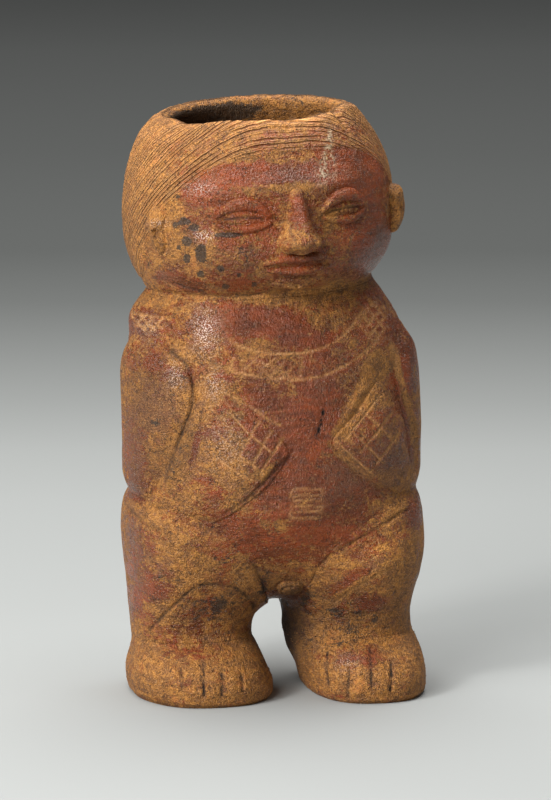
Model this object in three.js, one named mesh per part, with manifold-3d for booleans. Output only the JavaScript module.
import * as THREE from 'three';
import { LoftGeometry } from 'three/addons/geometries/LoftGeometry.js';
import { ParametricGeometry } from 'three/addons/geometries/ParametricGeometry.js';
import { mergeVertices } from 'three/addons/utils/BufferGeometryUtils.js';
import Module from 'manifold-3d';

// Figural vessel: a standing figure built up by hand in low-fired clay, the mouth in the top of the head.
// Millimetres. The figure faces -Y, stands on z = 0, and left and right are the figure's own.

const wasm = await Module();
wasm.setup();

// Clearance between two pieces that are pressed together
const SEAT = 0.3;

// How far an applied piece is drawn into the body below it before its seat is cut
const ROOT = 1;

// Thickness of the clay wall
const WALL = 5.5;

// The figure's upright axis stands this far behind the origin, so the origin is in the middle of the box
const AXIS_Y = 3.9;

// Main sizes. The neck seam's height is from the ground, and the head's is from the seam.
const TORSO_WIDTH = 98.4;
const TORSO_DEPTH = 79.2;
const NECK_HEIGHT = 141;
const HEAD_WIDTH = 93.4;
const HEAD_DEPTH = 83.2;
const HEAD_HEIGHT = 59.6;

// How far the head is set in from the torso at the neck seam
const NECK_STEP = 0.8;

// How far below the mouth's edge its rounded lip begins, and how thick the wall still is there
const LIP_DEPTH = 6.6;
const LIP = 3.6;

// Profiles: half width, half depth, height, middle x, middle y. The torso's and the head's are stretched
// to the main sizes, and so are the legs, the feet and the heights of what lies on the body.

// The row before the last is at the neck seam
const TORSO = [
  [1.2, 1.0, 31.4, 0, 0],
  [12.0, 9.6, 32.3, 0, 0],
  [23.0, 17.5, 36.0, 0, 0],
  [33.0, 24.2, 42.6, 0, 0],
  [40.6, 29.8, 51.0, 0, 0],
  [45.8, 34.8, 59.0, 0, 0],
  [48.6, 38.0, 66.5, 0, 0],
  [49.2, 39.2, 73.0, 0, 0],
  [48.6, 39.6, 82.0, 0, 0],
  [48.2, 39.5, 92.0, 0, 0],
  [48.2, 39.1, 102.0, -0.3, 0],
  [48.3, 38.3, 112.0, -0.7, 0],
  [47.7, 36.9, 121.0, -1.3, 0],
  [45.4, 34.9, 130.0, -2.3, 0],
  [42.2, 32.8, 136.5, -3.1, 0],
  [39.6, 31.7, 141.0, -3.6, 0],
  [38.8, 31.2, 148.0, -3.6, 0],
];

// How far the head is turned and leaned on the neck seam
const HEAD_TURN = 7;
const HEAD_LEAN = -2.6;

// Heights in the head are counted from the neck seam
const HEAD = [
  [38.8, 30.9, 0, 0, 0],
  [41.8, 34.8, 3.4, 0, 0],
  [44.3, 38.4, 9.0, 0, 0],
  [46.2, 40.8, 16.0, 0, 0],
  [46.7, 41.6, 24.0, 0, 0],
  [46.4, 41.4, 32.0, 0, 0],
  [45.1, 40.0, 40.0, 0, 0],
  [42.7, 37.4, 47.0, -0.2, 0],
  [39.7, 34.3, 53.0, -0.5, 0],
  [36.9, 31.4, 57.2, -0.7, 0],
  [35.6, 30.2, 58.8, -0.7, 0],
  [33.6, 28.3, 59.6, -0.7, 0],
];

const RIGHT_LEG = [
  [20.3, 21.6, 20.0, -28.7, 2.2],
  [20.6, 22.6, 26.0, -28.9, 2.2],
  [22.0, 24.8, 33.0, -28.0, 2.0],
  [24.2, 28.2, 41.0, -26.4, 1.6],
  [25.0, 30.8, 50.0, -26.3, 1.2],
  [24.8, 31.4, 58.0, -26.8, 0.8],
  [24.0, 30.4, 64.0, -27.0, 0.6],
  [22.0, 28.0, 68.0, -27.0, 0.5],
  [17.0, 23.0, 71.0, -27.2, 0.5],
  [10.0, 15.0, 72.0, -27.6, 0.5],
];

const LEFT_LEG = [
  [20.5, 22.0, 20.0, 27.7, -0.4],
  [21.2, 23.0, 26.0, 27.6, -0.4],
  [22.8, 25.4, 33.0, 27.4, -0.5],
  [24.6, 28.8, 41.0, 27.0, -0.6],
  [25.4, 31.2, 50.0, 26.8, -0.6],
  [25.0, 31.7, 58.0, 26.7, -0.5],
  [24.2, 30.5, 64.0, 26.8, -0.4],
  [22.0, 28.0, 68.0, 26.9, -0.3],
  [17.0, 23.0, 71.0, 27.2, 0],
  [10.0, 15.0, 72.0, 27.6, 0],
];

const RIGHT_FOOT = [
  [23.2, 27.6, 0, -26.2, -3.6],
  [24.4, 29.0, 1.6, -26.2, -3.6],
  [24.8, 29.4, 6.0, -26.2, -3.6],
  [24.3, 28.6, 10.6, -26.4, -3.0],
  [23.2, 26.6, 14.0, -26.9, -1.9],
  [21.4, 23.8, 17.2, -27.8, 0.4],
  RIGHT_LEG[0],
];

const LEFT_FOOT = [
  [19.4, 30.0, 0, 30.4, -6.2],
  [20.6, 31.4, 1.6, 30.4, -6.2],
  [21.0, 31.8, 6.0, 30.4, -6.2],
  [20.9, 30.8, 10.6, 30.1, -5.6],
  [20.8, 28.4, 14.0, 29.6, -4.2],
  [20.5, 24.8, 17.2, 28.6, -2.0],
  LEFT_LEG[0],
];

// How square the sections of the legs and feet are, 2 being an oval
const LIMB_SQUARE = 2.5;

// Applied pads: outline in degrees round the body and height, thickness in the middle and at the edge.
// -90 degrees is the middle of the front, and the figure's right side is at -180.
const RIGHT_UPPER_ARM = {
  thick: 4.6, edge: 0.9, dome: 0.6,
  outline: [
    [-135, 108], [-138.5, 116], [-148, 122], [-164, 124.5], [-184, 121], [-199, 110],
    [-205, 94], [-202, 79], [-190, 69.5], [-174, 66.5], [-159, 67.5], [-151, 78], [-142, 92], [-135.5, 100],
  ],
};

const RIGHT_HAND = {
  thick: 3.0, edge: 0.9, dome: 0.35,
  outline: [
    [-93, 90.5], [-104, 101], [-117, 113.5], [-125, 110.5], [-135, 103], [-144, 90], [-153, 77],
    [-161, 68.5], [-162, 64], [-152, 61.8], [-138, 61.5], [-122, 64.5], [-106, 74], [-98, 81],
  ],
};

const LEFT_UPPER_ARM = {
  thick: 4.6, edge: 0.9, dome: 0.6,
  outline: [
    [-37, 112], [-33, 120], [-20, 124.5], [-4, 123], [14, 114], [24, 98], [23, 82], [13, 71.5],
    [-2, 67.5], [-17, 68], [-24, 76], [-29, 90], [-34, 102],
  ],
};

const LEFT_HAND = {
  thick: 3.0, edge: 0.9, dome: 0.35,
  outline: [
    [-74.5, 92.5], [-63, 101], [-51, 110.5], [-43, 107], [-33, 101], [-28, 90], [-23, 77],
    [-15, 68.5], [-26, 68], [-41, 71], [-54, 76], [-66, 84],
  ],
};

const LEFT_EAR = {
  thick: 4.8, edge: 1.2, dome: 0.5,
  outline: [
    [-26, 33], [-20.5, 31], [-19.5, 25], [-22.5, 19.5], [-26.5, 16], [-30, 19], [-29.5, 25], [-30.5, 30],
  ],
};

const CHIN = {
  thick: 2.4, edge: 0.7, dome: 0.5,
  outline: [[-90, 9.0], [-81, 8.2], [-78, 5.9], [-82, 3.9], [-90, 3.3], [-98, 3.9], [-102, 5.9], [-99, 8.2]],
};

const GROIN = {
  thick: 2.4, edge: 0.8, dome: 0.5,
  outline: [
    [-86, 41.2], [-79, 40.8], [-76, 38.7], [-79, 36.6], [-86, 36.1], [-93, 36.6], [-96, 38.7], [-93, 40.8],
  ],
};

// Rolled fillets: path in millimetres across the face and up from the neck seam, half widths and heights
const LEFT_UPPER_LID = {
  path: [[9.6, 30.0], [13.5, 33.0], [18.5, 34.1], [23.5, 33.2], [28.0, 30.4]],
  half: [1.1, 1.9, 2.2, 1.9, 1.0],
  height: [0.9, 1.7, 2.2, 1.8, 0.9],
};

const LEFT_LOWER_LID = {
  path: [[9.8, 27.2], [13.5, 26.2], [18.5, 25.7], [23.5, 26.1], [27.8, 27.6]],
  half: [0.9, 1.3, 1.5, 1.3, 0.9],
  height: [0.8, 1.2, 1.5, 1.2, 0.8],
};

const NOSE = {
  path: [[0, 35.5], [0, 32.0], [0, 28.0], [0, 24.0], [0, 20.5], [0, 18.2]],
  half: [2.6, 3.4, 4.2, 5.6, 7.2, 6.6],
  height: [1.8, 3.4, 5.0, 6.8, 7.8, 5.4],
};

const UPPER_LIP = {
  path: [[-11.5, 13.9], [-6, 15.2], [0, 15.3], [6, 15.2], [11.5, 13.9]],
  half: [0.8, 1.3, 1.5, 1.3, 0.8],
  height: [0.8, 1.6, 2.1, 1.6, 0.8],
};

const LOWER_LIP = {
  path: [[-10.2, 11.5], [-5.5, 11.4], [0, 11.2], [5.5, 11.4], [10.2, 11.5]],
  half: [0.7, 1.2, 1.5, 1.2, 0.7],
  height: [0.8, 1.6, 2.2, 1.6, 0.8],
};

// Stretches drawn heights so that one row of a profile comes to a height
function stretch(rows, row, height) {
  const foot = rows[0][2];
  return (z) => foot + ((z - foot) * (height - foot)) / (row[2] - foot);
}

// Shares by which a drawn profile grows to a full width and depth
function growth(rows, width, depth) {
  const widest = Math.max(...rows.map((row) => row[0]));
  const deepest = Math.max(...rows.map((row) => row[1]));
  return { wide: width / 2 / widest, deep: depth / 2 / deepest };
}

// A drawn profile grown by such shares, with its heights stretched
function sized(rows, { wide, deep }, level = (z) => z) {
  return rows.map(([w, d, z, x, y]) => [w * wide, d * deep, level(z), x * wide, y * deep]);
}

// Values of a row list on a smooth curve through all rows
function smoothRows(rows, count) {
  const sizes = rows.map((r) => new THREE.Vector3(r[0], r[1], r[2]));
  const middles = rows.map((r) => new THREE.Vector3(r[3], r[4], 0));
  const shape = new THREE.CatmullRomCurve3(sizes, false, 'catmullrom');
  const middle = new THREE.CatmullRomCurve3(middles, false, 'catmullrom');
  const out = [];
  for (let i = 0; i <= count; i++) {
    const s = shape.getPoint(i / count);
    const m = middle.getPoint(i / count);
    out.push([s.x, s.y, s.z, m.x, m.y]);
  }
  return out;
}

// The same profile moved along its own normal, upright rows staying level where it widens upward
function grown(rows, by, upright = false) {
  return rows.map((row, i) => {
    const a = rows[Math.max(i - 1, 0)];
    const b = rows[Math.min(i + 1, rows.length - 1)];
    let run = (b[0] - a[0] + b[1] - a[1]) / 2;
    const rise = b[2] - a[2];
    if (upright && run > 0) run = 0;
    const length = Math.hypot(run, rise);
    const out = (by * rise) / length;
    const up = (-by * run) / length;
    return [Math.max(row[0] + out, 0.2), Math.max(row[1] + out, 0.2), row[2] + up, row[3], row[4]];
  });
}

// The same profile a little higher
function raised(rows, by) {
  return rows.map(([w, d, z, x, y]) => [w, d, z + by, x, y]);
}

// One closed section, an oval or squarer
function ring(row, around, square) {
  const points = [];
  const bend = (value) => Math.sign(value) * Math.abs(value) ** (2 / square);
  for (let j = 0; j < around; j++) {
    const a = (j * 2 * Math.PI) / around;
    const x = row[3] + row[0] * bend(Math.cos(a));
    const y = row[4] + row[1] * bend(Math.sin(a));
    points.push(new THREE.Vector3(x, y, row[2]));
  }
  return points;
}

// A boolean solid from a closed geometry
function solid(geometry) {
  const plain = new THREE.BufferGeometry();
  plain.setAttribute('position', geometry.getAttribute('position'));
  plain.setIndex(geometry.index);
  const welded = mergeVertices(plain, 1e-4);
  const corners = [];
  for (let i = 0; i < welded.index.count; i += 3) {
    const [a, b, c] = [0, 1, 2].map((k) => welded.index.getX(i + k));
    if (a !== b && b !== c && c !== a) corners.push(a, b, c);
  }
  return new wasm.Manifold(new wasm.Mesh({
    numProp: 3,
    vertProperties: new Float32Array(welded.attributes.position.array),
    triVerts: new Uint32Array(corners),
  }));
}

// A solid through a stack of sections
function loft(sections) {
  return solid(new LoftGeometry(sections, { capStart: true, capEnd: true }));
}

function stack(rows, around, square = 2) {
  return loft(rows.map((row) => ring(row, around, square)));
}

const torsoLevel = stretch(TORSO, TORSO[TORSO.length - 2], NECK_HEIGHT);
const headLevel = stretch(HEAD, HEAD[HEAD.length - 1], HEAD_HEIGHT);

const torsoGrowth = growth(TORSO, TORSO_WIDTH, TORSO_DEPTH);
const torsoDrawn = sized(TORSO, torsoGrowth, torsoLevel);
const seam = torsoDrawn[torsoDrawn.length - 2];
const headDrawn = sized(HEAD, growth(HEAD, HEAD_WIDTH, HEAD_DEPTH), headLevel);
headDrawn[0] = [seam[0] - NECK_STEP, seam[1] - NECK_STEP, 0, 0, 0];

const torsoRows = smoothRows(torsoDrawn, 28);
const headRows = smoothRows(headDrawn, 22);

// The head's own frame, from the neck seam upward
const headFrame = new THREE.Matrix4()
  .makeTranslation(seam[3], seam[4], seam[2])
  .multiply(new THREE.Matrix4().makeRotationZ(THREE.MathUtils.degToRad(HEAD_TURN)))
  .multiply(new THREE.Matrix4().makeRotationY(THREE.MathUtils.degToRad(HEAD_LEAN)));

function inHead(body) {
  return body.transform(headFrame.elements);
}

// Size and middle of a body at one height, with the outward slope there
function levelOf(rows, z) {
  let i = 1;
  while (i < rows.length - 1 && rows[i][2] < z) i++;
  const a = rows[i - 1];
  const b = rows[i];
  const t = THREE.MathUtils.clamp((z - a[2]) / (b[2] - a[2]), 0, 1);
  const row = a.map((value, k) => value + (b[k] - value) * t);
  const slope = (b[0] - a[0] + b[1] - a[1]) / 2 / (b[2] - a[2]);
  return { row, slope };
}

// A point lifted off a body's skin
function onSkin(rows, degrees, z, lift) {
  const { row, slope } = levelOf(rows, z);
  const a = THREE.MathUtils.degToRad(degrees);
  const plan = new THREE.Vector2(Math.cos(a) / row[0], Math.sin(a) / row[1]).normalize();
  const outward = new THREE.Vector3(plan.x, plan.y, -slope).normalize();
  const point = new THREE.Vector3(row[3] + row[0] * Math.cos(a), row[4] + row[1] * Math.sin(a), z);
  return point.addScaledVector(outward, lift);
}

// A domed pad that lies on a body, filling a closed outline. Its underside is cut to the seat later.
function pad(rows, level, spec, spare = 0, around = 28) {
  const corners = spec.outline.map(([a, z]) => new THREE.Vector3(a, level(z), 0));
  const edge = new THREE.CatmullRomCurve3(corners, true);
  const rim = edge.getPoints(around).slice(0, around);
  if (THREE.ShapeUtils.area(rim) < 0) rim.reverse();
  const middle = new THREE.Vector3();
  rim.forEach((p) => middle.addScaledVector(p, 1 / around));
  const size = levelOf(rows, middle.y).row;
  const round = THREE.MathUtils.degToRad(middle.x);
  const perDegree = (Math.hypot(size[0] * Math.sin(round), size[1] * Math.cos(round)) * Math.PI) / 180;
  const thickness = (u) => spec.edge + (spec.thick - spec.edge) * (1 - u * u) ** spec.dome;
  const steps = [0, 0.4, 0.7, 0.9, 1];
  const under = steps.map((u) => [u, -ROOT]);
  const over = steps.map((u) => [u, SEAT + thickness(u) + spare]).reverse();
  const levels = [...under, ...over];
  const outline = rim.map((p, i) => {
    const before = rim[(i + around - 1) % around];
    const after = rim[(i + 1) % around];
    const outward = new THREE.Vector2(after.y - before.y, (before.x - after.x) * perDegree).setLength(spare);
    return new THREE.Vector2(p.x + outward.x / perDegree, p.y + outward.y);
  });
  const surface = (u, v, target) => {
    const p = outline[Math.round(u * around) % around];
    const [reach, lift] = levels[Math.round(v * (levels.length - 1))];
    const a = middle.x + (p.x - middle.x) * reach;
    target.copy(onSkin(rows, a, middle.y + (p.y - middle.y) * reach, lift));
  };
  return solid(new ParametricGeometry(surface, around, levels.length - 1));
}

// A rolled fillet that lies on the face along a path. Its underside is cut to the seat later.
function fillet(rows, spec, mirror = 1) {
  const samples = (spec.path.length - 1) * 2;
  const bends = spec.path.map(([s, z]) => new THREE.Vector3(mirror * s, headLevel(z), 0));
  const path = new THREE.CatmullRomCurve3(bends);
  const sizes = new THREE.CatmullRomCurve3(spec.half.map((h, i) => new THREE.Vector3(h, spec.height[i], 0)));
  const place = (p, lift) => {
    const size = levelOf(rows, p.y).row;
    return onSkin(rows, -90 + THREE.MathUtils.radToDeg(p.x / size[0]), p.y, lift);
  };
  const sections = [];
  for (let i = 0; i <= samples; i++) {
    const t = i / samples;
    const p = path.getPoint(t);
    const along = path.getTangent(t);
    const across = new THREE.Vector3(-along.y, along.x, 0);
    const size = sizes.getPoint(t);
    const points = [];
    for (let k = 0; k <= 8; k++) {
      const c = Math.cos((k * Math.PI) / 8);
      const q = p.clone().addScaledVector(across, c * size.x);
      points.push(place(q, SEAT + 0.35 + size.y * Math.sin((k * Math.PI) / 8)));
    }
    points.push(place(p.clone().addScaledVector(across, -size.x), -ROOT));
    points.push(place(p.clone().addScaledVector(across, size.x), -ROOT));
    sections.push(points);
  }
  return loft(sections);
}

// Hollow head: open at the neck, with a rounded lip round the mouth
function buildHead() {
  const outer = stack(raised(headRows, SEAT / 2), 40);
  const lipStart = HEAD_HEIGHT - LIP_DEPTH;
  const walls = grown(headRows, -WALL, true).filter((row, i) => row[2] < lipStart && i % 2 === 0);
  const neck = walls[0];
  const edge = headRows[headRows.length - 1];
  const mouth = [
    [edge[0] - LIP, edge[1] - LIP, HEAD_HEIGHT - LIP, edge[3], 0],
    [edge[0] - 0.85 * LIP, edge[1] - 0.85 * LIP, HEAD_HEIGHT - 0.3 * LIP, edge[3], 0],
    [edge[0] - 0.35 * LIP, edge[1] - 0.35 * LIP, HEAD_HEIGHT + 0.3 * LIP, edge[3], 0],
  ];
  const hollow = stack([[neck[0], neck[1], -3, 0, 0], ...walls, ...mouth], 32);
  return inHead(outer.subtract(hollow));
}

// Hollow torso: closed round belly below, cut off level with the head at the neck seam
function buildTorso() {
  const hollow = stack(grown(torsoRows, -WALL).filter((row, i) => i > 1 && i % 2 === 0), 32);
  const across = 2 * TORSO_WIDTH;
  const above = solid(new THREE.BoxGeometry(across, across, across).translate(0, 0, (across - SEAT) / 2));
  return stack(torsoRows, 40).subtract(hollow).subtract(inHead(above));
}

const torsoSeat = stack(grown(torsoRows, SEAT), 40);
const headSeat = stack(raised(grown(headRows, SEAT), SEAT / 2), 40);

// Solid leg, hollowed on top where it is pressed under the belly and the arms
function buildLeg(rows, arms) {
  let leg = stack(raised(rows, SEAT), 28, LIMB_SQUARE).subtract(torsoSeat);
  arms.forEach((arm) => {
    leg = leg.subtract(arm);
  });
  return leg;
}

const pieces = [];

function piece(name, body, colour, roughness) {
  const result = body.translate([0, AXIS_Y, 0]).getMesh();
  const geometry = new THREE.BufferGeometry();
  geometry.setAttribute('position', new THREE.BufferAttribute(new Float32Array(result.vertProperties), 3));
  geometry.setIndex(new THREE.BufferAttribute(new Uint32Array(result.triVerts), 1));
  geometry.computeVertexNormals();
  const clay = new THREE.MeshStandardMaterial({ color: colour, roughness, metalness: 0 });
  const mesh = new THREE.Mesh(geometry, clay);
  mesh.name = name;
  pieces.push(mesh);
}

const head = buildHead();
const torso = buildTorso();

piece('head_bowl', head, 0x9f6038, 0.55);
piece('torso', torso, 0x96523a, 0.55);

const upperArms = {
  right: pad(torsoRows, torsoLevel, RIGHT_UPPER_ARM).subtract(torsoSeat),
  left: pad(torsoRows, torsoLevel, LEFT_UPPER_ARM).subtract(torsoSeat),
};
const upperArmSeats = {
  right: pad(torsoRows, torsoLevel, RIGHT_UPPER_ARM, SEAT),
  left: pad(torsoRows, torsoLevel, LEFT_UPPER_ARM, SEAT),
};
const hands = {
  right: pad(torsoRows, torsoLevel, RIGHT_HAND).subtract(torsoSeat).subtract(upperArmSeats.right),
  left: pad(torsoRows, torsoLevel, LEFT_HAND).subtract(torsoSeat).subtract(upperArmSeats.left),
};
const handSeats = {
  right: pad(torsoRows, torsoLevel, RIGHT_HAND, SEAT),
  left: pad(torsoRows, torsoLevel, LEFT_HAND, SEAT),
};

const legRows = {
  left: smoothRows(sized(LEFT_LEG, torsoGrowth), 14),
  right: smoothRows(sized(RIGHT_LEG, torsoGrowth), 14),
};
for (const [name, foot] of [['left', LEFT_FOOT], ['right', RIGHT_FOOT]]) {
  piece(`${name}_upper_arm`, upperArms[name], 0xa06a42, 0.6);
  piece(`${name}_forearm_and_hand`, hands[name], 0x9c6040, 0.6);
  piece(`${name}_leg`, buildLeg(legRows[name], [upperArmSeats[name], handSeats[name]]), 0x996541, 0.65);
  piece(`${name}_foot`, stack(smoothRows(sized(foot, torsoGrowth), 12), 28, LIMB_SQUARE), 0xae7850, 0.75);
}

const ear = pad(headRows, headLevel, LEFT_EAR, 0, 18);
const onHead = {
  left_ear: [ear, 0xa8693f],
  right_ear: [ear.mirror([1, 0, 0]), 0xa8693f],
  nose: [fillet(headRows, NOSE), 0xa5653c],
  left_upper_eyelid: [fillet(headRows, LEFT_UPPER_LID), 0xa5633c],
  right_upper_eyelid: [fillet(headRows, LEFT_UPPER_LID, -1), 0xa5633c],
  left_lower_eyelid: [fillet(headRows, LEFT_LOWER_LID), 0xa5633c],
  right_lower_eyelid: [fillet(headRows, LEFT_LOWER_LID, -1), 0xa5633c],
  upper_lip: [fillet(headRows, UPPER_LIP), 0x9e5d3c],
  lower_lip: [fillet(headRows, LOWER_LIP), 0x9e5d3c],
  chin_pad: [pad(headRows, headLevel, CHIN, 0, 18), 0xa0633c],
};
for (const [name, [body, colour]] of Object.entries(onHead)) {
  piece(name, inHead(body.subtract(headSeat)), colour, 0.55);
}

// The pellet between the thighs keeps clear of both legs
const clear = (rows) => stack(grown(rows, 2 * SEAT), 28, LIMB_SQUARE);
const pellet = pad(torsoRows, torsoLevel, GROIN, 0, 16).subtract(torsoSeat);
piece('groin_pellet', pellet.subtract(clear(legRows.left)).subtract(clear(legRows.right)), 0xa87245, 0.65);

const vessel = new THREE.Group();
vessel.name = 'figural_vessel';
vessel.add(...pieces);

export default vessel;
